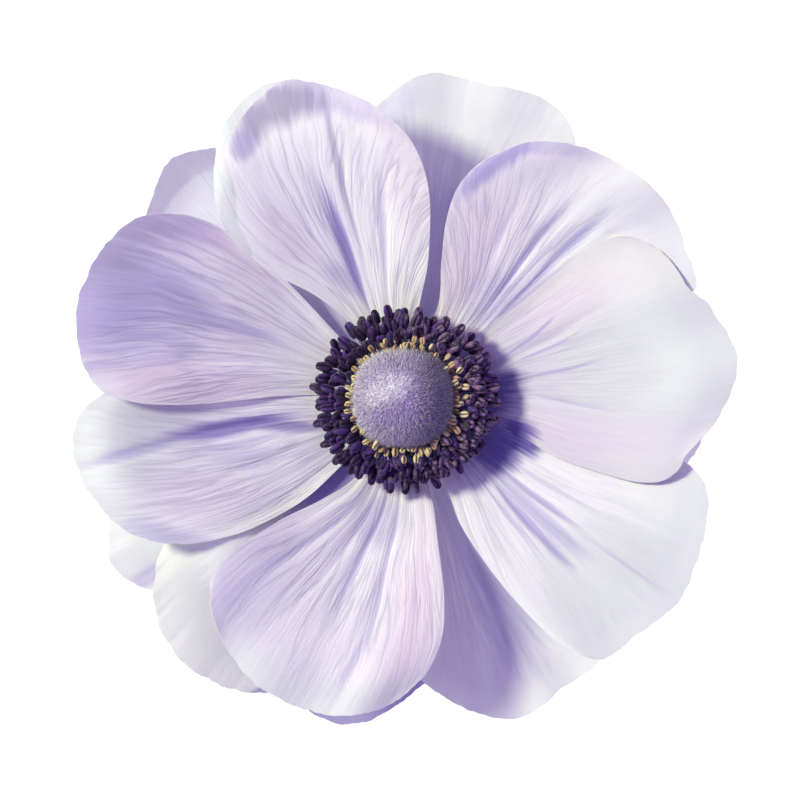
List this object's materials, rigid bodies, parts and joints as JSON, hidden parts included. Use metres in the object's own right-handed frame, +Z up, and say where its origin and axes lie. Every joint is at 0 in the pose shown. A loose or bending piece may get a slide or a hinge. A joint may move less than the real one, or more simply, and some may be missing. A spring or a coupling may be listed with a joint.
{
  "type": "anemone flower",
  "caption": "Open anemone flower, face up, with pale violet tepals in two whorls round a dark ring of stamens, a yellow inner ring and a domed pistil head, on a short cut stem",
  "frame": {"origin": "middle of the flower's box in plan, on the surface that it rests on", "axes": "+Z up out of the face of the flower; +Y towards the top of the flower as it is seen from above; +X to the right"},
  "size_m": [0.08, 0.0796, 0.0187],
  "materials": {
    "front_tepal": "soft matt petal, pale violet flushed pink and deeper violet, with fine fan-shaped veins",
    "rear_tepal": "soft matt petal, white-grey at the margin and deep violet towards the root",
    "stem": "matt green stalk with a finely hairy skin",
    "dark_stamen": "dark purple anthers, slightly glossy, with a violet bloom",
    "yellow_stamen": "pale straw yellow anthers, matt",
    "carpels": "velvety mauve head of fine hairy carpels with a pale bloom"
  },
  "bodies": {
    "root": {"front_tepal_upper_left": "front_tepal", "front_tepal_top_left": "front_tepal", "front_tepal_top_right": "front_tepal", "front_tepal_right": "front_tepal", "front_tepal_lower_right": "front_tepal", "front_tepal_bottom": "front_tepal", "front_tepal_lower_left": "front_tepal", "rear_tepal_top_left": "rear_tepal", "rear_tepal_top": "rear_tepal", "rear_tepal_right": "rear_tepal", "rear_tepal_lower_right": "rear_tepal", "rear_tepal_lower_left": "rear_tepal", "rear_tepal_bottom": "rear_tepal", "rear_tepal_left": "rear_tepal", "stem_and_receptacle": "stem", "dark_stamens": "dark_stamen", "yellow_stamens": "yellow_stamen", "pistil_dome": "carpels"}
  },
  "joints": []
}
